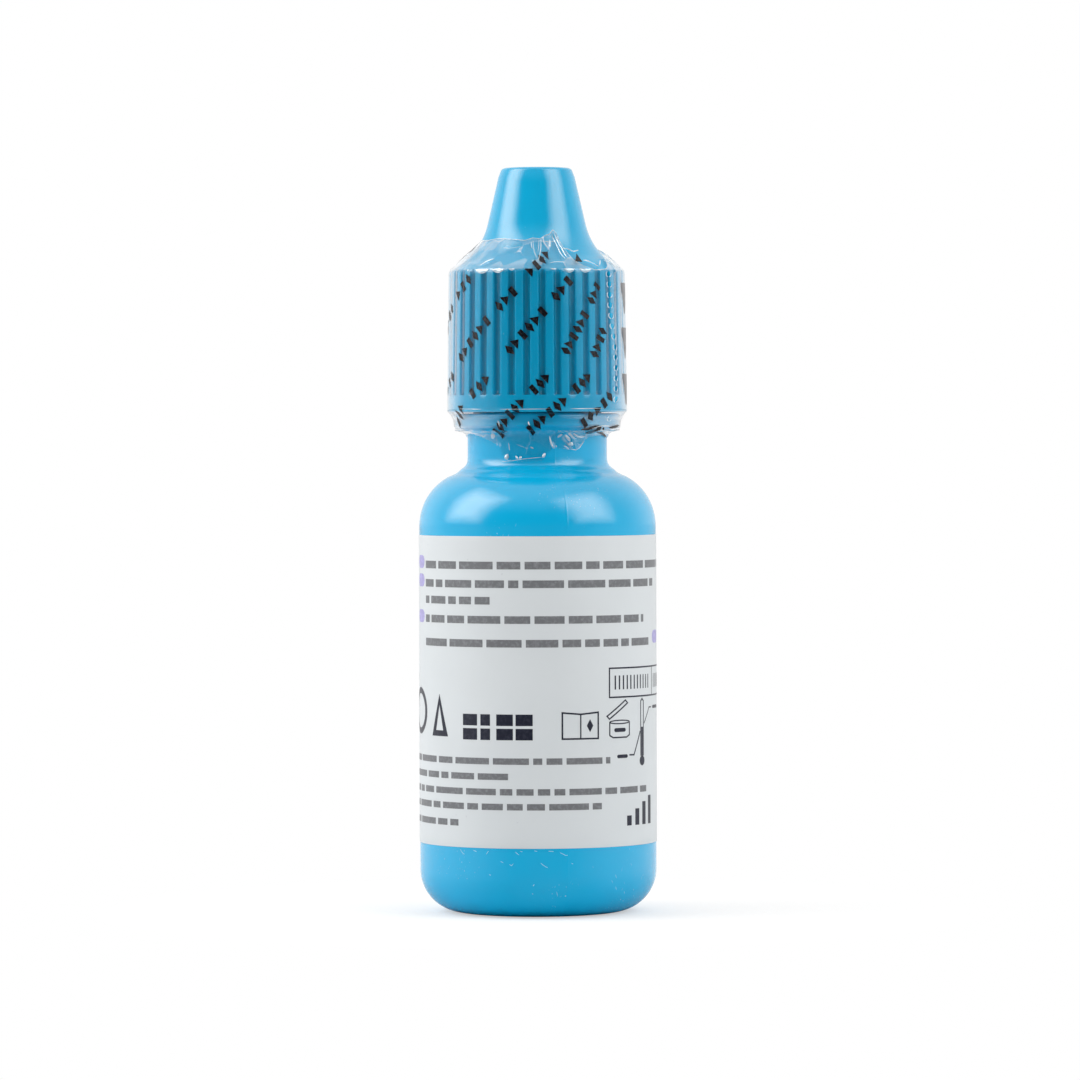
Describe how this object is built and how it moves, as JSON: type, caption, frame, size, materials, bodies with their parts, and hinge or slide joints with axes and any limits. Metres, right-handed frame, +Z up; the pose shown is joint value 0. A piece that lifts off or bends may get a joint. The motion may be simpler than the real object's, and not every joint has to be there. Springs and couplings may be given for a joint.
{
  "type": "eye drop bottle",
  "caption": "Round squeeze bottle with a dropper tip, a ribbed screw cap that unscrews and lifts clear, a wrap-round label and a clear shrink seal with a tear strip.",
  "frame": {"origin": "centre of the flat ring that the bottle stands on", "axes": "+Z up along the bottle's axis, -Y out of the front of the label, +X to the right seen from the front"},
  "size_m": [0.024, 0.024, 0.0751],
  "materials": {
    "bottle_plastic": "blown polyethylene, satin gloss",
    "tip_plastic": "natural moulded polyethylene",
    "liquid": "clear watery drops",
    "label_paper": "coated white label, soft gloss",
    "seal_film": "clear wrinkled shrink film",
    "cap_plastic": "moulded polypropylene, gloss",
    "disc_elastomer": "soft translucent elastomer"
  },
  "bodies": {
    "bottle_body": {"bottle": "bottle_plastic", "dropper_tip": "tip_plastic", "eye_drops": "liquid", "label": "label_paper", "neck_film": "seal_film"},
    "disc_body": {"cap_seal_disc": "disc_elastomer"},
    "cap_body": {"cap": "cap_plastic"},
    "sleeve_body": {"seal_sleeve": "seal_film"},
    "strip_body": {"tear_strip": "seal_film"}
  },
  "joints": [
    {"name": "cap_lift", "type": "slide", "parent": "bottle_body", "child": "disc_body", "axis": [0, 0, 1], "range_m": [0, 0.024]},
    {"name": "cap_turn", "type": "hinge", "parent": "disc_body", "child": "cap_body", "pos_m": [0, 0, 0.0626], "axis": [0, 0, 1], "range_deg": [0, 2880]},
    {"name": "seal_lift", "type": "slide", "parent": "cap_body", "child": "sleeve_body", "axis": [0, 0, 1], "range_m": [0, 0.026]},
    {"name": "strip_pull", "type": "slide", "parent": "sleeve_body", "child": "strip_body", "axis": [0.9816, -0.1908, 0], "range_m": [0, 0.012]}
  ],
  "couplings": [
    {"joint": "cap_lift", "follows": "cap_turn", "m_per_rad": 0.00047746}
  ]
}
